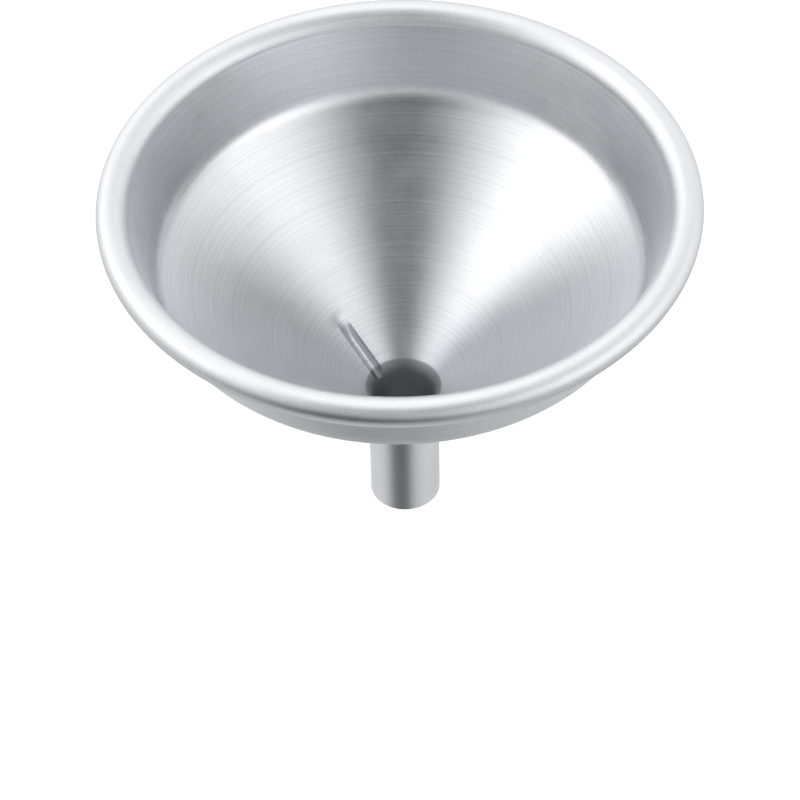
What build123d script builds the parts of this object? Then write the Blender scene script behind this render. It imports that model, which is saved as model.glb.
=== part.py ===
"""Bottle-neck canning funnel in satin aluminium.

A spun bowl with a wired rim, and a flared spout tube that the bowl's split neck grips.
One vent rib is pressed outwards along the lower cone and into the throat. It rests on
the bottle's mouth and holds the cone a little off it, so that air can leave.

Frame: +Z up along the axis, origin at the centre of the spout's tip.
The vent rib lies on the -X side. All sizes are in millimetres.
"""
from build123d import *
from math import cos, radians, sin, tan
import os

# Overall
RIM_RADIUS = 62.5          # outermost circle of the rolled rim
HEIGHT = 90.0              # spout tip to the top of the rim

# Sheet and wire
BOWL_SHEET = 1.0
FLARE_SHEET = 1.0          # the spout's sheet in its flare and inside the neck
SPOUT_SHEET = 0.8          # the spout's sheet below the neck, where it is drawn thinner
WIRE_RADIUS = 2.0

# Rolled rim: the sheet wraps the wire, and eases into the wall along a wider bend
CURL_RADIUS = WIRE_RADIUS + BOWL_SHEET
CURL_EASE_RADIUS = 5.0     # wider bend on the inside of the mouth
CURL_EASE_ANGLE = 125.0    # where the wider bend takes over from the curl
CURL_END_ANGLE = -150.0    # the sheet's free edge, tucked under against the wall

# Wall, cone and the rounded corner between them
WALL_ANGLE = 75.0          # slope of the wall, from the horizontal
CONE_ANGLE = 41.5          # slope of the cone, from the horizontal
CORNER_DEPTH = 19.8        # from the rim's top to where wall and cone would meet
CORNER_FILLET = 8.0        # on the inner face

# Spout and the neck that grips it
SPOUT_RADIUS = 7.7         # outer, below the neck
THROAT_FILLET = 4.0        # inner face, from the cone down into the spout
FLARE_RADIUS = 9.9         # top edge of the spout's flare, level with the cone's inner face
NECK_LENGTH = 5.0          # straight part of the bowl's neck, below the throat's bend
JOGGLE_LENGTH = 1.2        # the bowl's sheet steps outwards over this length
SHOULDER_DROP = 0.5        # from the neck's end to the tube's small shoulder
SHOULDER_LENGTH = 0.4      # the tube's outer face tapers in over this length

# Vent rib: a round-nosed channel pressed outwards
RIB_WIDTH = 2.9            # of the channel, at the cone's inner face
RIB_DEPTH = 0.9            # of the channel
RIB_NOSE_RADIUS = 16.5     # where its rounded upper end has its centre
RIB_END_RADIUS = 5.0       # where its cutter ends, inside the throat
RIB_ROOT_RADIUS = 7.4      # where its outer side ends, inside the tube's sheet
RIB_REACH = 5.0            # how far the outer side's stock runs below the cone
NECK_SLOT = 4.2            # gap in the neck that the rib passes through
SEAM_REACH = 6.0           # how far the seam's cutter runs past the sheet on each side
SEAM_RUN = 15.0            # how far the seam's cutter runs up the cone, past the rib

# Positions that follow from the sizes above
CURL_CENTRE = Vector(RIM_RADIUS - CURL_RADIUS, HEIGHT - CURL_RADIUS)
WALL_NORMAL = WALL_ANGLE + 90.0
CONE_NORMAL = CONE_ANGLE + 90.0


def ray(angle, length=1.0):
    """Vector of a length at an angle, in the profile's plane (radius, height)."""
    return Vector(length * cos(radians(angle)), length * sin(radians(angle)))


EASE_CENTRE = CURL_CENTRE + ray(CURL_EASE_ANGLE, CURL_RADIUS - CURL_EASE_RADIUS)
WALL_TOP = EASE_CENTRE + ray(WALL_NORMAL, CURL_EASE_RADIUS)
CORNER = WALL_TOP - ray(WALL_ANGLE, (WALL_TOP.Y - HEIGHT + CORNER_DEPTH) / sin(radians(WALL_ANGLE)))
CORNER_REACH = CORNER_FILLET / cos(radians((WALL_ANGLE - CONE_ANGLE) / 2))
FILLET_CENTRE = CORNER + ray((WALL_NORMAL + CONE_NORMAL) / 2, CORNER_REACH)
BORE_RADIUS = SPOUT_RADIUS - SPOUT_SHEET
NECK_BORE = BORE_RADIUS + FLARE_SHEET
RIB_RADIUS = (RIB_WIDTH ** 2 / 4 + RIB_DEPTH ** 2) / (2 * RIB_DEPTH)


def on_cone(radius, above=0.0):
    """Point over the cone's inner face at a radius, raised along the face's normal."""
    height = CORNER.Y - (CORNER.X - radius) * tan(radians(CONE_ANGLE))
    return Vector(radius, height) + ray(CONE_NORMAL, above)


THROAT_X = BORE_RADIUS + THROAT_FILLET
THROAT_TOP = on_cone(THROAT_X + ray(CONE_NORMAL, THROAT_FILLET).X)
THROAT_CENTRE = THROAT_TOP - ray(CONE_NORMAL, THROAT_FILLET)
NECK_END = THROAT_CENTRE.Y - NECK_LENGTH
SHOULDER_TOP = NECK_END - SHOULDER_DROP


def arc(centre, radius, start, end):
    """Arc about a centre from a start angle to an end angle."""
    return CenterArc(centre, radius, start, end - start)


def polar(centre, radius, angle):
    """Point at a radius and angle from a centre."""
    return centre + ray(angle, radius)


def closed_face(edges):
    """Face in the XZ plane inside edges given as (radius, height)."""
    return make_face(Plane.XZ * (Curve() + edges))


def turned(edges):
    """Solid of revolution about the funnel's axis."""
    return revolve(closed_face(edges), Axis.Z)


def throat_bend(below, downwards=True):
    """The throat's bend at a depth below the inner face, down to the straight tube."""
    angles = (CONE_NORMAL, 180.0) if downwards else (180.0, CONE_NORMAL)
    return arc(THROAT_CENTRE, THROAT_FILLET - below, *angles)


def bowl_sheet():
    """Curl, wall, rounded corner, cone, the step behind the flare, and the straight neck."""
    inner_corner = polar(FILLET_CENTRE, -CORNER_FILLET, WALL_NORMAL)
    inner_cone = polar(FILLET_CENTRE, -CORNER_FILLET, CONE_NORMAL)
    outer_fillet = CORNER_FILLET + BOWL_SHEET
    outer_corner = polar(FILLET_CENTRE, -outer_fillet, WALL_NORMAL)
    outer_cone = polar(FILLET_CENTRE, -outer_fillet, CONE_NORMAL)
    ease_back = CURL_EASE_RADIUS - BOWL_SHEET
    inside = FLARE_SHEET
    outside = FLARE_SHEET + BOWL_SHEET
    neck_radius = NECK_BORE + BOWL_SHEET
    step_radius = FLARE_RADIUS + JOGGLE_LENGTH * cos(radians(CONE_ANGLE))
    return turned([
        arc(CURL_CENTRE, CURL_RADIUS, CURL_END_ANGLE, CURL_EASE_ANGLE),
        arc(EASE_CENTRE, CURL_EASE_RADIUS, CURL_EASE_ANGLE, WALL_NORMAL),
        Line(WALL_TOP, inner_corner),
        arc(FILLET_CENTRE, CORNER_FILLET, WALL_NORMAL - 180.0, CONE_NORMAL - 180.0),
        Line(inner_cone, on_cone(FLARE_RADIUS)),
        Line(on_cone(FLARE_RADIUS), on_cone(FLARE_RADIUS, -inside)),
        Line(on_cone(FLARE_RADIUS, -inside), polar(THROAT_CENTRE, THROAT_FILLET - inside, CONE_NORMAL)),
        throat_bend(inside),
        Line((NECK_BORE, THROAT_CENTRE.Y), (NECK_BORE, NECK_END)),
        Line((NECK_BORE, NECK_END), (neck_radius, NECK_END)),
        Line((neck_radius, NECK_END), (neck_radius, THROAT_CENTRE.Y)),
        throat_bend(outside, downwards=False),
        Line(polar(THROAT_CENTRE, THROAT_FILLET - outside, CONE_NORMAL), on_cone(FLARE_RADIUS, -outside)),
        Line(on_cone(FLARE_RADIUS, -outside), on_cone(step_radius, -BOWL_SHEET)),
        Line(on_cone(step_radius, -BOWL_SHEET), outer_cone),
        arc(FILLET_CENTRE, outer_fillet, CONE_NORMAL - 180.0, WALL_NORMAL - 180.0),
        Line(outer_corner, polar(EASE_CENTRE, ease_back, WALL_NORMAL)),
        arc(EASE_CENTRE, ease_back, WALL_NORMAL, CURL_EASE_ANGLE),
        arc(CURL_CENTRE, WIRE_RADIUS, CURL_EASE_ANGLE, CURL_END_ANGLE),
        Line(polar(CURL_CENTRE, WIRE_RADIUS, CURL_END_ANGLE),
             polar(CURL_CENTRE, CURL_RADIUS, CURL_END_ANGLE)),
    ])


def spout_side():
    """Side view of everything on the spout's side of the seam, and past the neck's end."""
    low = on_cone(FLARE_RADIUS, -SEAM_REACH)
    high = on_cone(FLARE_RADIUS, SEAM_REACH)
    below = NECK_END - SEAM_REACH
    return chain(high, low, Vector(low.X, below), Vector(0, below), Vector(0, high.Y), high)


def bowl_side():
    """Side view of everything near the seam on the bowl's side of it."""
    low = on_cone(FLARE_RADIUS, -SEAM_REACH)
    high = on_cone(FLARE_RADIUS, SEAM_REACH)
    along = ray(CONE_ANGLE, SEAM_RUN)
    return chain(high, low, low + along, high + along, high)


def chain(*points):
    """Straight edges through points."""
    return [Line(a, b) for a, b in zip(points, points[1:])]


def rib_bar(radius):
    """Round-nosed bar along the rib's axis, on the -X side."""
    nose = on_cone(RIB_NOSE_RADIUS, RIB_RADIUS - RIB_DEPTH)
    end = on_cone(RIB_END_RADIUS, RIB_RADIUS - RIB_DEPTH)
    start = Vector(-nose.X, 0, nose.Y)
    run = Vector(-end.X, 0, end.Y) - start
    return extrude(Plane(start, z_dir=run) * Circle(radius), run.length) + Pos(*start) * Sphere(radius)


def rib_back(sheet):
    """The rib's outer side: the bar that lies below the middle of the sheet."""
    root = Vector(RIB_ROOT_RADIUS, on_cone(RIB_ROOT_RADIUS).Y)
    top = on_cone(RIB_NOSE_RADIUS + RIB_REACH, -sheet / 2)
    reach = Vector(0, RIB_REACH)
    side = chain(root, top, top - reach, root - reach, root)
    below = extrude(closed_face(side).mirror(Plane.YZ), RIB_REACH, both=True)
    return rib_bar(RIB_RADIUS + sheet) & below


def make_bowl():
    """Bowl: curl, wall, cone with the rib's upper part, and the split neck."""
    back = rib_back(BOWL_SHEET) - turned(spout_side())
    slot = extrude(closed_face(spout_side()).mirror(Plane.YZ), NECK_SLOT / 2, both=True)
    return bowl_sheet() - slot + back - rib_bar(RIB_RADIUS)


def make_spout():
    """Spout: a tube flared to lie level with the cone, with the rib's lower part."""
    shoulder_foot = SHOULDER_TOP - SHOULDER_LENGTH
    tube = turned([
        Line(on_cone(FLARE_RADIUS), THROAT_TOP),
        throat_bend(0.0),
        Line((BORE_RADIUS, THROAT_CENTRE.Y), (BORE_RADIUS, 0)),
        Line((BORE_RADIUS, 0), (SPOUT_RADIUS, 0)),
        Line((SPOUT_RADIUS, 0), (SPOUT_RADIUS, shoulder_foot)),
        Line((SPOUT_RADIUS, shoulder_foot), (NECK_BORE, SHOULDER_TOP)),
        Line((NECK_BORE, SHOULDER_TOP), (NECK_BORE, THROAT_CENTRE.Y)),
        throat_bend(FLARE_SHEET, downwards=False),
        Line(polar(THROAT_CENTRE, THROAT_FILLET - FLARE_SHEET, CONE_NORMAL),
             on_cone(FLARE_RADIUS, -FLARE_SHEET)),
        Line(on_cone(FLARE_RADIUS, -FLARE_SHEET), on_cone(FLARE_RADIUS)),
    ])
    return tube + rib_back(FLARE_SHEET) - rib_bar(RIB_RADIUS) - turned(bowl_side())


def make_rim_wire():
    """Round wire ring that the rim is rolled around."""
    return turned([arc(CURL_CENTRE, WIRE_RADIUS, 0, 360)])


os.makedirs("parts", exist_ok=True)
for node, shape in (("bowl", make_bowl()), ("spout", make_spout()), ("rim_wire", make_rim_wire())):
    export_step(shape, f"parts/{node}.step")
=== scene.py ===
"""Studio picture of a spun aluminium bottle funnel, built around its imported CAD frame."""
from math import asin, cos, degrees, exp, pi, radians, sin, sqrt, tan
from typing import NamedTuple

import bpy
from mathutils import Matrix, Vector


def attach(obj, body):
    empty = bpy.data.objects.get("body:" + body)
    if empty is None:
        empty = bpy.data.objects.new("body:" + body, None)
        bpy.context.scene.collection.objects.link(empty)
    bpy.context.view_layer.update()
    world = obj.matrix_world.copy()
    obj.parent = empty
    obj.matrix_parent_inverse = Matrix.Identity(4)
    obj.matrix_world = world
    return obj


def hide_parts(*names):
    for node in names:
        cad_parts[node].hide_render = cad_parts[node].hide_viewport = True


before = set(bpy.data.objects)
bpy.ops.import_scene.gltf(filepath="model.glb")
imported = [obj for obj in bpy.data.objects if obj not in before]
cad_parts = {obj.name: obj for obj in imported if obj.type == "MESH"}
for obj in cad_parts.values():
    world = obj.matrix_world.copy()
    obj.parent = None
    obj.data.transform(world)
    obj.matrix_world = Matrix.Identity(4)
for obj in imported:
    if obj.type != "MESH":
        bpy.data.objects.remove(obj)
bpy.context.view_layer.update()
MM = 0.001

# The funnel's own sizes in millimetres, as the CAD model has them
RIM_RADIUS = 62.5
HEIGHT = 90.0
BOWL_SHEET = 1.0
FLARE_SHEET = 1.0
SPOUT_SHEET = 0.8
WIRE_RADIUS = 2.0
CURL_RADIUS = WIRE_RADIUS + BOWL_SHEET
CURL_EASE_RADIUS = 5.0
CURL_EASE_ANGLE = 125.0
CURL_END_ANGLE = -150.0
WALL_ANGLE = 75.0
CONE_ANGLE = 41.5
CORNER_DEPTH = 19.8
CORNER_FILLET = 8.0
SPOUT_RADIUS = 7.7
BORE_RADIUS = SPOUT_RADIUS - SPOUT_SHEET
NECK_BORE = BORE_RADIUS + FLARE_SHEET
THROAT_FILLET = 4.0
FLARE_RADIUS = 9.9
NECK_LENGTH = 5.0
JOGGLE_LENGTH = 1.2
SHOULDER_DROP = 0.5
SHOULDER_LENGTH = 0.4
NECK_SLOT = 4.2

# The vent rib, a channel pressed outwards on the -X side, with soft lips and a soft upper
# end. Above the clear radius the cone is plain.
RIB_WIDTH = 2.9
RIB_DEPTH = 0.9
RIB_TOP_RADIUS = 18.2
RIB_FULL_RADIUS = 14.2
RIB_CLEAR_RADIUS = RIB_TOP_RADIUS + 3.0
RIB_LIP = 0.12

# The shallow pull in the sheet at the rib's upper end, and how far from the rib's middle
# plane the sheet is pressed at all
PULL_RADIUS = 18.2
PULL_DEPTH = 0.16
PULL_LENGTH = 1.1
PULL_WIDTH = 1.9
PRESSED_WIDTH = 4.0

# Small rounded edges that only the picture needs
SEAM_LIP = 0.03
EDGE_ROUND = 0.15

# The gap between the wire and the sheet round it, and the scale across the axis that keeps
# the meshes within the CAD model's box
WIRE_PLAY = 0.02
TRIM = 0.9998

# Mesh spacing along the profile: on straight runs, across the rib, down the tube, and on
# arcs, in degrees. An edge sharper than the last angle is shown as an edge.
RUN_STEP = 1.5
RIB_STEP = 0.35
TUBE_STEP = 1.0
ARC_STEP = 5.0
SHARP_ANGLE = 35.0

# Mesh spacing round the axis, in degrees: how far the close spacing reaches on each side
# of the rib, the close spacing, and the spacing elsewhere
BOWL_TURN = (14, 0.35, 1.5)
NECK_TURN = (30, 3, 3)
SPOUT_TURN = (28, 0.7, 3)

# Colours of the spun sheet, the rolled rim and the tube; of the bore, a dark painted shade;
# and of the corner between wall and cone, which is a little smoother than the rest and lighter, partly its
# burnish and partly a painted highlight
SPUN = (0.665, 0.675, 0.70)
ROLLED = (0.69, 0.70, 0.72)
DRAWN = (0.65, 0.66, 0.685)
BORE_PAINTED_SHADE = (0.33, 0.335, 0.35)
BURNISH_AND_PAINTED_HIGHLIGHT = (0.75, 0.76, 0.78)

# Which way the grain lies, as a share of a full turn
GRAIN_ROUND = 0.25
GRAIN_ACROSS = 0.0

# Turning lines along the profile: about how many coarse and fine ones there are in a
# millimetre, and the share of each in the whole
COARSE_LINES = 0.7
FINE_LINES = 1.9
COARSE_SHARE = 0.25
FINE_SHARE = 0.75

# The roller's feed marks: their pitch, how far they stray, how often they do so in a
# millimetre, and the power that narrows them. Their strength falls to a share where the
# coarse lines are faint, and they show less in the bump than in the colour.
FEED_PITCH = 1.35
FEED_STRAY = 2.0
FEED_WANDER = 0.35
FEED_NARROW = 3.0
FEED_FAINTEST = 0.25
FEED_IN_BUMP = 0.5
FEED_IN_COLOUR = 0.55

# Clouds, smudges and grit all over the metal: about how many of each there are in a metre
CLOUDS = 38.0
SMUDGES = 150.0
GRIT = 3200.0

# The stretch of a noise that is used: a narrow one for strong contrast, a wide one for soft
STRONG = (0.35, 0.65)
SOFT = (0.3, 0.7)

# What the noise does: lines are weakest in a cloud, clouds and grit shade the colour, and
# smudges and lines make it rougher
WEAKEST_LINES = 0.45
CLOUD_SHADE = 0.07
GRIT_SHADE = 0.13
SMUDGE_ROUGHNESS = (-0.02, 0.03)
LINE_ROUGHNESS = 0.15
CALM_IN_BAND = 0.15

# The shading that gives the darkest and the lightest metal, and their shares of its colour
SHADE_RANGE = (-0.5, 0.4)
DARKEST = 0.8
LIGHTEST = 1.12

# Where the picture is taken from: an azimuth about the axis, an elevation, and a slight roll
VIEW_AZIMUTH = 42.0
VIEW_ELEVATION = 46.64
VIEW_ROLL = 1.26
VIEW_DISTANCE = 749.5
VIEW_HEIGHT = 27.5
VIEW_SIDE = -0.8
LENS = 154.5
SENSOR = 36.0

# What the camera can see, in metres
CLIP_START = 0.01
CLIP_END = 20.0

# The bottle that carries the funnel is left out, so the floor lies well below it
FLOOR_DEPTH = 185.0
FLOOR_SIZE = 9000.0
FLOOR_PAPER = (0.93, 0.93, 0.93)
FLOOR_ROUGHNESS = 0.95

# A white tent with softboxes, and darkness round the camera and below it:
# azimuth from the camera's side, elevation, tightness and strength of each
TENT_LIGHT = 0.98
STUDIO = {
    "left softbox": (-92, 35, 8, 1.38),
    "right softbox": (63, 18, 7, 1.1),
    "tent roof": (-162, 65, 2, 0.48),
    "camera opening": (0, 51, 8, -1.43),
    "room below the camera": (-15, -19, 8, -1.75),
    "table's near side": (47, -42, 3.6, -0.15),
    "table's far side": (180, -70, 3.2, -0.3),
}

WALL_NORMAL = WALL_ANGLE + 90.0
CONE_NORMAL = CONE_ANGLE + 90.0


# ------------------------------------------------------------ profile, as (radius, height)

def ray(angle, length=1.0):
    return Vector((length * cos(radians(angle)), length * sin(radians(angle))))


def around(centre, radius, start, end, step=ARC_STEP):
    """Points along an arc, both ends included."""
    count = max(2, round(abs(end - start) / step))
    return [centre + ray(start + (end - start) * i / count, radius) for i in range(count + 1)]


def along(start, end, step=RUN_STEP):
    """Points along a straight run, without its ends."""
    count = max(1, round((end - start).length / step))
    return [start.lerp(end, i / count) for i in range(1, count)]


CURL_CENTRE = Vector((RIM_RADIUS - CURL_RADIUS, HEIGHT - CURL_RADIUS))
EASE_CENTRE = CURL_CENTRE + ray(CURL_EASE_ANGLE, CURL_RADIUS - CURL_EASE_RADIUS)
WALL_TOP = EASE_CENTRE + ray(WALL_NORMAL, CURL_EASE_RADIUS)
WALL_LENGTH = (WALL_TOP.y - HEIGHT + CORNER_DEPTH) / sin(radians(WALL_ANGLE))
CORNER = WALL_TOP - ray(WALL_ANGLE, WALL_LENGTH)
CORNER_REACH = CORNER_FILLET / cos(radians((WALL_ANGLE - CONE_ANGLE) / 2))
FILLET_CENTRE = CORNER + ray((WALL_NORMAL + CONE_NORMAL) / 2, CORNER_REACH)


def on_cone(radius, above=0.0):
    """The point of the inner cone at a radius, or one above it along the cone's normal."""
    height = CORNER.y - (CORNER.x - radius) * tan(radians(CONE_ANGLE))
    return Vector((radius, height)) + ray(CONE_NORMAL, above)


THROAT_TOP = on_cone(BORE_RADIUS + THROAT_FILLET + ray(CONE_NORMAL, THROAT_FILLET).x)
THROAT_CENTRE = THROAT_TOP - ray(CONE_NORMAL, THROAT_FILLET)
NECK_END = THROAT_CENTRE.y - NECK_LENGTH
SHOULDER_TOP = NECK_END - SHOULDER_DROP
WALL_FOOT = FILLET_CENTRE - ray(WALL_NORMAL, CORNER_FILLET)

# Lengths along the profile, as the UV map counts them: on the spout to the throat and to the
# tip, and on the bowl from the sheet's free edge to the corner and to the cone
FLARE_RUN = (FLARE_RADIUS - SEAM_LIP - THROAT_TOP.x) / cos(radians(CONE_ANGLE))
BORE_RUN = FLARE_RUN + THROAT_FILLET * radians(180 - CONE_NORMAL) + THROAT_CENTRE.y
CURL_RUN = CURL_RADIUS * radians(CURL_EASE_ANGLE - CURL_END_ANGLE)
EASE_RUN = CURL_EASE_RADIUS * radians(WALL_NORMAL - CURL_EASE_ANGLE)
CORNER_RUN = CURL_RUN + EASE_RUN + (WALL_TOP - WALL_FOOT).length
CONE_RUN = CORNER_RUN + CORNER_FILLET * radians(WALL_ANGLE - CONE_ANGLE)


def smooth(low, high, x):
    """An even climb from 0 to 1 between two values."""
    t = min(1.0, max(0.0, (x - low) / (high - low)))
    return t * t * (3 - 2 * t)


def rib_push(point, across, sheet):
    """How far the rib pushes a profile point out, at a distance from the rib's middle plane.

    The sheet is 0 for the inner face, and the sheet's thickness for the outer one.
    """
    rise = smooth(-RIB_TOP_RADIUS, -RIB_FULL_RADIUS, -point.x)
    from_pull = ((point.x - PULL_RADIUS) / PULL_LENGTH) ** 2 + (across / PULL_WIDTH) ** 2
    pull = PULL_DEPTH * exp(-from_pull)
    if rise == 0:
        return pull
    depth = RIB_DEPTH * rise
    radius = (RIB_WIDTH ** 2 / 4 + depth ** 2) / (2 * depth)
    inside = min(across, radius + sheet)
    floor = sqrt((radius + sheet) ** 2 - inside ** 2) - (radius - depth) - 2 * (across - inside)
    below = (on_cone(point.x).y - point.y) * cos(radians(CONE_ANGLE))
    over = floor - below
    return pull + (over + sqrt(over ** 2 + (RIB_LIP * rise) ** 2)) / 2


# ------------------------------------------------------------ meshes

def azimuths(fine_half, fine_step, coarse_step, slot_half=0.0):
    """Angles round the axis, closer together near the rib, which is at 180 degrees."""
    fine = round((fine_half - slot_half) / fine_step)
    coarse = round((360 - 2 * fine_half) / coarse_step)
    lead = [slot_half + (fine_half - slot_half) * i / fine for i in range(fine)]
    far = [fine_half + (360 - 2 * fine_half) * i / coarse for i in range(coarse)]
    tail = [360 - angle for angle in reversed(lead)]
    if slot_half == 0.0:
        tail.pop()      # it would be the first angle again
    return [180.0 + a for a in lead + far + [360 - fine_half] + tail]


def turned_point(point, angle, push=0.0):
    """A profile point turned to an angle, and pushed out from the cone."""
    x, y, z = point.x * cos(radians(angle)), point.x * sin(radians(angle)), point.y
    out = ray(CONE_NORMAL, push)
    return Vector(((x + out.x) * TRIM, y * TRIM, z - out.y)) * MM


def pressed(point, angle, sheet):
    """A profile point turned to an angle, with the rib pressed out."""
    across = abs(point.x * sin(radians(angle)))
    near = cos(radians(angle)) < 0 and across < PRESSED_WIDTH
    if near and THROAT_CENTRE.y < point.y < on_cone(RIB_CLEAR_RADIUS).y:
        return turned_point(point, angle, rib_push(point, across, sheet))
    return turned_point(point, angle)


def turned_mesh(name, loop, angles, split=False, second_from=0, outer_from=0):
    """A closed loop of profile points turned round the axis, all the way or with a slot.

    The UV map has the turn in U and the length along the profile, in millimetres, in V.
    From one of its points on, the loop takes the second material, and from another on it
    is the sheet's outer face. A split piece has its slot where the rib would be.
    """
    count = len(loop)
    lengths = [0.0]
    for a, b in zip(loop, loop[1:] + loop[:1]):
        lengths.append(lengths[-1] + (b - a).length)
    sheets = [BOWL_SHEET if outer_from and k >= outer_from else 0.0 for k in range(count)]
    if split:
        vertices = [turned_point(point, angle) for angle in angles for point in loop]
    else:
        vertices = [pressed(point, angle, sheet) for angle in angles for point, sheet in zip(loop, sheets)]
    faces, uvs = [], []
    for i in range(len(angles) - (1 if split else 0)):
        j = (i + 1) % len(angles)
        u0 = angles[i] / 360
        u1 = angles[j] / 360 + (0 if j else 1)
        for k in range(count):
            m = (k + 1) % count
            faces.append((i * count + k, j * count + k, j * count + m, i * count + m))
            uvs += [(u0, lengths[k]), (u1, lengths[k]), (u1, lengths[k + 1]), (u0, lengths[k + 1])]
    if split:
        last = (len(angles) - 1) * count
        there, back = list(range(count)), list(reversed(range(count)))
        faces += [tuple(there), tuple(last + k for k in back)]
        uvs += [(0, lengths[k]) for k in there + back]
    mesh = bpy.data.meshes.new(name)
    mesh.from_pydata(vertices, [], faces)
    layer = mesh.uv_layers.new(name="turned")
    for item, uv in zip(layer.data, uvs):
        item.uv = uv
    mesh.polygons.foreach_set("use_smooth", [True] * len(faces))
    if second_from:
        second = [int(i % count >= second_from) for i in range(len(faces))]
        mesh.polygons.foreach_set("material_index", second)
    mesh.set_sharp_from_angle(angle=radians(SHARP_ANGLE))
    piece = bpy.data.objects.new(name, mesh)
    bpy.context.scene.collection.objects.link(piece)
    return piece


def make_bowl():
    """Curl, wall, rounded corner and cone, down to the seam with the spout's flare.

    The curl and its ease into the wall take the rim's material, and the rest the second one.
    """
    corner_wall, corner_cone = WALL_NORMAL - 180, CONE_NORMAL - 180
    outer_fillet = CORNER_FILLET + BOWL_SHEET
    ease_back = CURL_EASE_RADIUS - BOWL_SHEET
    inner_cone_top = FILLET_CENTRE + ray(corner_cone, CORNER_FILLET)
    rib_start = on_cone(RIB_CLEAR_RADIUS)
    back_rib_start = on_cone(RIB_CLEAR_RADIUS, -BOWL_SHEET)
    seam = on_cone(FLARE_RADIUS + SEAM_LIP)
    back_seam = on_cone(FLARE_RADIUS, -BOWL_SHEET)
    outer_cone_top = FILLET_CENTRE + ray(corner_cone, outer_fillet)
    outer_wall_foot = FILLET_CENTRE + ray(corner_wall, outer_fillet)
    outer_wall_top = EASE_CENTRE + ray(WALL_NORMAL, ease_back)
    loop = around(CURL_CENTRE, CURL_RADIUS, CURL_END_ANGLE, CURL_EASE_ANGLE)
    loop += around(EASE_CENTRE, CURL_EASE_RADIUS, CURL_EASE_ANGLE, WALL_NORMAL)[1:]
    curl_points = len(loop) - 1
    loop += along(WALL_TOP, WALL_FOOT)
    loop += around(FILLET_CENTRE, CORNER_FILLET, corner_wall, corner_cone)
    loop += along(inner_cone_top, rib_start)
    loop += [rib_start] + along(rib_start, seam, RIB_STEP)
    loop += [seam, on_cone(FLARE_RADIUS, -SEAM_LIP), back_seam]
    back_points = len(loop) - 1
    loop += along(back_seam, back_rib_start, RIB_STEP) + [back_rib_start]
    loop += along(back_rib_start, outer_cone_top)
    loop += around(FILLET_CENTRE, outer_fillet, corner_cone, corner_wall)
    loop += along(outer_wall_foot, outer_wall_top)
    loop += around(EASE_CENTRE, ease_back, WALL_NORMAL, CURL_EASE_ANGLE)
    loop += around(CURL_CENTRE, WIRE_RADIUS + WIRE_PLAY, CURL_EASE_ANGLE, CURL_END_ANGLE)[1:]
    angles = azimuths(*BOWL_TURN)
    return turned_mesh("bowl_skin", loop, angles, second_from=curl_points, outer_from=back_points)


def make_neck():
    """The bowl's sheet behind the flare and down the tube, split where the rib passes."""
    outside = FLARE_SHEET + BOWL_SHEET
    neck_radius = NECK_BORE + BOWL_SHEET
    step_radius = FLARE_RADIUS + JOGGLE_LENGTH * cos(radians(CONE_ANGLE))
    bore_end = Vector((NECK_BORE, NECK_END))
    face_end = Vector((neck_radius, NECK_END))
    loop = [on_cone(FLARE_RADIUS, -FLARE_SHEET)]
    loop += around(THROAT_CENTRE, THROAT_FILLET - FLARE_SHEET, CONE_NORMAL, 180)
    loop += [bore_end + Vector((0, EDGE_ROUND)), bore_end + Vector((EDGE_ROUND, 0))]
    loop += [face_end - Vector((EDGE_ROUND, 0)), face_end + Vector((0, EDGE_ROUND))]
    loop += around(THROAT_CENTRE, THROAT_FILLET - outside, 180, CONE_NORMAL)
    loop += [on_cone(FLARE_RADIUS, -outside)]
    loop += [on_cone(step_radius, -BOWL_SHEET), on_cone(step_radius, -BOWL_SHEET / 2)]
    slot_half = degrees(asin(NECK_SLOT / 2 / neck_radius))
    return turned_mesh("bowl_neck", loop, azimuths(*NECK_TURN, slot_half), split=True)


def make_spout():
    """Flare, throat and tube, thinner below the neck."""
    flare = on_cone(FLARE_RADIUS - SEAM_LIP)
    flare_back = on_cone(FLARE_RADIUS, -FLARE_SHEET)
    back_fillet = THROAT_FILLET - FLARE_SHEET
    bore_top = Vector((BORE_RADIUS, THROAT_CENTRE.y))
    tip_in, tip_out = Vector((BORE_RADIUS, 0)), Vector((SPOUT_RADIUS, 0))
    shoulder_foot = Vector((SPOUT_RADIUS, SHOULDER_TOP - SHOULDER_LENGTH))
    shoulder = Vector((NECK_BORE, SHOULDER_TOP))
    neck_top = Vector((NECK_BORE, THROAT_CENTRE.y))
    loop = [flare] + along(flare, THROAT_TOP, RIB_STEP)
    loop += around(THROAT_CENTRE, THROAT_FILLET, CONE_NORMAL, 180)
    loop += along(bore_top, tip_in, TUBE_STEP)
    loop += [tip_in + Vector((0, EDGE_ROUND)), tip_in + Vector((EDGE_ROUND, 0))]
    tip_points = len(loop)
    loop += [tip_out - Vector((EDGE_ROUND, 0)), tip_out + Vector((0, EDGE_ROUND))]
    loop += along(tip_out, shoulder_foot, TUBE_STEP) + [shoulder_foot, shoulder]
    loop += along(shoulder, neck_top, TUBE_STEP)
    loop += around(THROAT_CENTRE, back_fillet, 180, CONE_NORMAL)
    loop += along(THROAT_CENTRE + ray(CONE_NORMAL, back_fillet), flare_back, RIB_STEP)
    loop += [flare_back, on_cone(FLARE_RADIUS, -SEAM_LIP)]
    return turned_mesh("spout_skin", loop, azimuths(*SPOUT_TURN), outer_from=tip_points)


# ------------------------------------------------------------ materials

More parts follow.
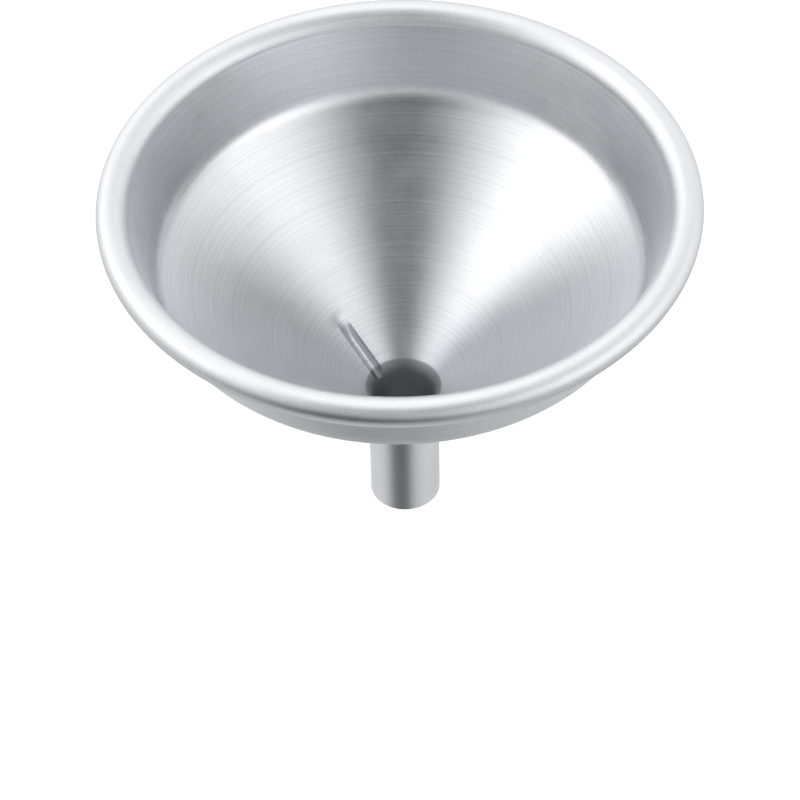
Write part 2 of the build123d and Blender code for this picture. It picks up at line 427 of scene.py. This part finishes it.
class Nodes:
    """A material's or world's node tree, with short ways to add what it needs."""

    def __init__(self, owner):
        owner.use_nodes = True
        self.tree = owner.node_tree

    def add(self, kind, **settings):
        node = self.tree.nodes.new(kind)
        for name, value in settings.items():
            setattr(node, name, value)
        return node

    def feed(self, socket, value):
        if isinstance(value, bpy.types.NodeSocket):
            self.tree.links.new(value, socket)
        else:
            socket.default_value = value

    def math(self, operation, *values):
        node = self.add("ShaderNodeMath", operation=operation)
        for socket, value in zip(node.inputs, values):
            self.feed(socket, value)
        return node.outputs[0]

    def noise(self, vector, scale, detail=2.0, roughness=0.5, dimensions="3D"):
        node = self.add("ShaderNodeTexNoise", noise_dimensions=dimensions)
        self.feed(node.inputs["W" if dimensions == "1D" else "Vector"], vector)
        node.inputs["Scale"].default_value = scale
        node.inputs["Detail"].default_value = detail
        node.inputs["Roughness"].default_value = roughness
        return node.outputs["Fac"]

    def mix(self, factor, first, second):
        node = self.add("ShaderNodeMix", data_type="RGBA")
        self.feed(node.inputs["Factor"], factor)
        for name, colour in (("A", first), ("B", second)):
            linked = isinstance(colour, bpy.types.NodeSocket)
            self.feed(node.inputs[name], colour if linked else (*colour, 1))
        return node.outputs["Result"]

    def span(self, value, low, high, to_low, to_high):
        """A value mapped from one range to another, and held at that one's ends."""
        node = self.add("ShaderNodeMapRange")
        names = ("Value", "From Min", "From Max", "To Min", "To Max")
        for name, number in zip(names, (value, low, high, to_low, to_high)):
            self.feed(node.inputs[name], number)
        return node.outputs[0]


class Band(NamedTuple):
    """A stretch of the profile with a colour of its own, which paints light or shade onto it, and how much
    rougher it is.

    It fades in over a length from its start, and out over the same length from its end.
    """

    start: float
    end: float
    fade: float
    colour: tuple
    roughness: float


def turning_lines(nodes, run, cloud, scale):
    """Coarse and fine lines round the axis, weaker in the clouds, and the coarse ones alone."""
    coarse = nodes.noise(run, COARSE_LINES * scale, dimensions="1D")
    fine = nodes.noise(run, FINE_LINES * scale, detail=3.0, roughness=0.7, dimensions="1D")
    coarse_part = nodes.math("MULTIPLY", coarse, COARSE_SHARE)
    lines = nodes.math("ADD", coarse_part, nodes.math("MULTIPLY", fine, FINE_SHARE))
    strength = nodes.span(cloud, *STRONG, WEAKEST_LINES, 1.0)
    return nodes.math("MULTIPLY", nodes.math("SUBTRACT", lines, 0.5), strength), coarse


def feed_marks(nodes, run, coarse, strength):
    """Narrow marks round the axis at a nearly even pitch."""
    wander = nodes.noise(run, FEED_WANDER, detail=1.0, dimensions="1D")
    strayed = nodes.math("ADD", run, nodes.math("MULTIPLY", wander, FEED_STRAY))
    wave = nodes.math("COSINE", nodes.math("MULTIPLY", strayed, 2 * pi / FEED_PITCH))
    marks = nodes.math("POWER", nodes.span(wave, -1, 1, 0, 1), FEED_NARROW)
    return nodes.math("MULTIPLY", marks, nodes.span(coarse, *STRONG, FEED_FAINTEST * strength, strength))


def inside_band(nodes, run, band):
    """1 inside the band and 0 outside it."""
    fade_in = nodes.span(run, band.start, band.start + band.fade, 0, 1)
    fade_out = nodes.span(run, band.end, band.end + band.fade, 1, 0)
    return nodes.math("MULTIPLY", fade_in, fade_out)


def turned_metal(name, colour, roughness, anisotropy, line_depth, line_scale,
                 feed=0.0, band=None, grain=GRAIN_ROUND):
    """Satin aluminium with turning lines and feed marks round the axis, smudges and grit.

    The feed is the marks' strength, and the line depth is in millimetres. The lines and
    the marks are fainter inside the band.
    """
    material = bpy.data.materials.new(name)
    nodes = Nodes(material)
    shader = nodes.tree.nodes["Principled BSDF"]
    shader.inputs["Metallic"].default_value = 1.0
    shader.inputs["Anisotropic"].default_value = anisotropy
    shader.inputs["Anisotropic Rotation"].default_value = grain

    coordinates = nodes.add("ShaderNodeTexCoord")
    uv = nodes.add("ShaderNodeSeparateXYZ")
    nodes.feed(uv.inputs[0], coordinates.outputs["UV"])
    run, place = uv.outputs[1], coordinates.outputs["Object"]

    cloud = nodes.noise(place, CLOUDS, detail=3.0, roughness=0.6)
    smudge = nodes.noise(place, SMUDGES, detail=4.0, roughness=0.65)
    grit = nodes.noise(place, GRIT, detail=1.0)
    lines, coarse = turning_lines(nodes, run, cloud, line_scale)
    marks = feed_marks(nodes, run, coarse, feed)
    smoothest, roughest = (roughness + change for change in SMUDGE_ROUGHNESS)
    rough = nodes.span(smudge, *SOFT, smoothest, roughest)
    if band:
        inside = inside_band(nodes, run, band)
        calm = nodes.span(inside, 0, 1, 1, CALM_IN_BAND)
        lines = nodes.math("MULTIPLY", lines, calm)
        marks = nodes.math("MULTIPLY", marks, calm)
        rough = nodes.math("ADD", rough, nodes.math("MULTIPLY", inside, band.roughness))
    rough = nodes.math("ADD", rough, nodes.math("MULTIPLY", lines, LINE_ROUGHNESS))

    bump = nodes.add("ShaderNodeBump")
    bump.inputs["Strength"].default_value = 1.0
    bump.inputs["Distance"].default_value = line_depth * MM
    height = nodes.math("SUBTRACT", lines, nodes.math("MULTIPLY", marks, FEED_IN_BUMP))
    nodes.feed(bump.inputs["Height"], height)

    clouds = nodes.span(cloud, *SOFT, -CLOUD_SHADE, CLOUD_SHADE)
    patches = nodes.math("ADD", clouds, nodes.span(grit, *SOFT, -GRIT_SHADE, GRIT_SHADE))
    shade = nodes.math("ADD", lines, patches)
    shade = nodes.math("SUBTRACT", shade, nodes.math("MULTIPLY", marks, FEED_IN_COLOUR))
    shade = nodes.span(shade, *SHADE_RANGE, 0, 1)
    tint = nodes.mix(shade, [c * DARKEST for c in colour], [c * LIGHTEST for c in colour])
    # Inside the band the colour is the band's own: a painted highlight at the corner, painted shade in the
    # bore.
    if band:
        tint = nodes.mix(inside, tint, band.colour)

    nodes.feed(shader.inputs["Normal"], bump.outputs[0])
    nodes.feed(shader.inputs["Roughness"], rough)
    nodes.feed(shader.inputs["Base Color"], tint)
    return material


# ------------------------------------------------------------ studio

TURN = Matrix.Rotation(radians(VIEW_AZIMUTH), 3, "Z")


def towards(azimuth, elevation):
    """Direction at an azimuth to the right of the camera's side, and an elevation."""
    azimuth, elevation = radians(azimuth), radians(elevation)
    flat = cos(elevation)
    return TURN @ Vector((sin(azimuth) * flat, -cos(azimuth) * flat, sin(elevation)))


def make_camera():
    data = bpy.data.cameras.new("camera")
    data.lens, data.sensor_width = LENS, SENSOR
    data.clip_start, data.clip_end = CLIP_START, CLIP_END
    camera = bpy.data.objects.new("camera", data)
    bpy.context.scene.collection.objects.link(camera)
    back = towards(0, VIEW_ELEVATION)
    target = TURN @ Vector((VIEW_SIDE, 0, VIEW_HEIGHT)) * MM
    camera.location = target + back * VIEW_DISTANCE * MM
    camera.rotation_mode = "QUATERNION"
    roll = Matrix.Rotation(radians(-VIEW_ROLL), 4, "Z").to_quaternion()
    camera.rotation_quaternion = back.to_track_quat("Z", "Y") @ roll
    bpy.context.scene.camera = camera


def make_floor():
    """A wide sheet of white paper, which the metal doesn't mirror."""
    half, drop = FLOOR_SIZE / 2 * MM, -FLOOR_DEPTH * MM
    corners = [(x * half, y * half, drop) for x, y in ((-1, -1), (1, -1), (1, 1), (-1, 1))]
    mesh = bpy.data.meshes.new("floor")
    mesh.from_pydata(corners, [], [(0, 1, 2, 3)])
    floor = bpy.data.objects.new("floor", mesh)
    floor.visible_glossy = False
    bpy.context.scene.collection.objects.link(floor)
    material = bpy.data.materials.new("floor_paper")
    nodes = Nodes(material)
    shader = nodes.tree.nodes["Principled BSDF"]
    shader.inputs["Base Color"].default_value = (*FLOOR_PAPER, 1)
    shader.inputs["Roughness"].default_value = FLOOR_ROUGHNESS
    mesh.materials.append(material)


def make_studio():
    """A world lit by the tent and by what STUDIO adds to it or takes away."""
    world = bpy.data.worlds.new("studio")
    nodes = Nodes(world)
    direction = nodes.add("ShaderNodeTexCoord").outputs["Generated"]
    total = TENT_LIGHT
    for azimuth, elevation, tightness, strength in STUDIO.values():
        facing = nodes.add("ShaderNodeVectorMath", operation="DOT_PRODUCT")
        nodes.feed(facing.inputs[0], direction)
        facing.inputs[1].default_value = towards(azimuth, elevation)
        fall = nodes.math("MULTIPLY", nodes.math("SUBTRACT", facing.outputs["Value"], 1.0), tightness)
        total = nodes.math("ADD", total, nodes.math("MULTIPLY", nodes.math("EXPONENT", fall), strength))
    background = nodes.tree.nodes["Background"]
    background.inputs["Color"].default_value = (1, 1, 1, 1)
    nodes.feed(background.inputs["Strength"], nodes.math("MAXIMUM", total, 0.0))
    bpy.context.scene.world = world


def show(piece, materials, slot, *nodes):
    """Dress a piece and tell the frame what it rides on and the nodes it replaces. The slot is not used.
    """
    for material in materials:
        piece.data.materials.append(material)
    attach(piece, "root")
    if nodes:
        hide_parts(*nodes)


make_camera()
make_floor()
make_studio()

# The corner band is a little smoother and lighter: its lighter colour is partly burnish and partly a
# painted highlight.
corner = Band(start=CORNER_RUN - 0.5, end=CONE_RUN - 2.8, fade=1.8, colour=BURNISH_AND_PAINTED_HIGHLIGHT, roughness=-0.08)
# The bore band is rougher, and its dark colour is painted shade inside the tube.
bore = Band(start=FLARE_RUN - 0.35, end=BORE_RUN, fade=0.6, colour=BORE_PAINTED_SHADE, roughness=0.15)
spun = turned_metal("spun_aluminium", SPUN, roughness=0.32, anisotropy=0.88,
                    line_depth=0.014, line_scale=1.1, feed=0.42, band=corner)
rolled = turned_metal("rolled_rim", ROLLED, roughness=0.46, anisotropy=0.6,
                      line_depth=0.007, line_scale=0.9, feed=0.05, grain=GRAIN_ACROSS)
drawn = turned_metal("drawn_aluminium", DRAWN, roughness=0.32, anisotropy=0.88,
                     line_depth=0.01, line_scale=1.2, feed=0.1, band=bore)

show(make_bowl(), [rolled, spun], "spun_aluminium", "bowl")
show(make_neck(), [spun], "spun_aluminium")
show(make_spout(), [drawn], "tube_aluminium", "spout")

# The wire in the rim stays the CAD model's own
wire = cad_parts["rim_wire"]
wire.data.materials.clear()
wire.data.materials.append(drawn)

bpy.context.scene.view_settings.view_transform = "Standard"
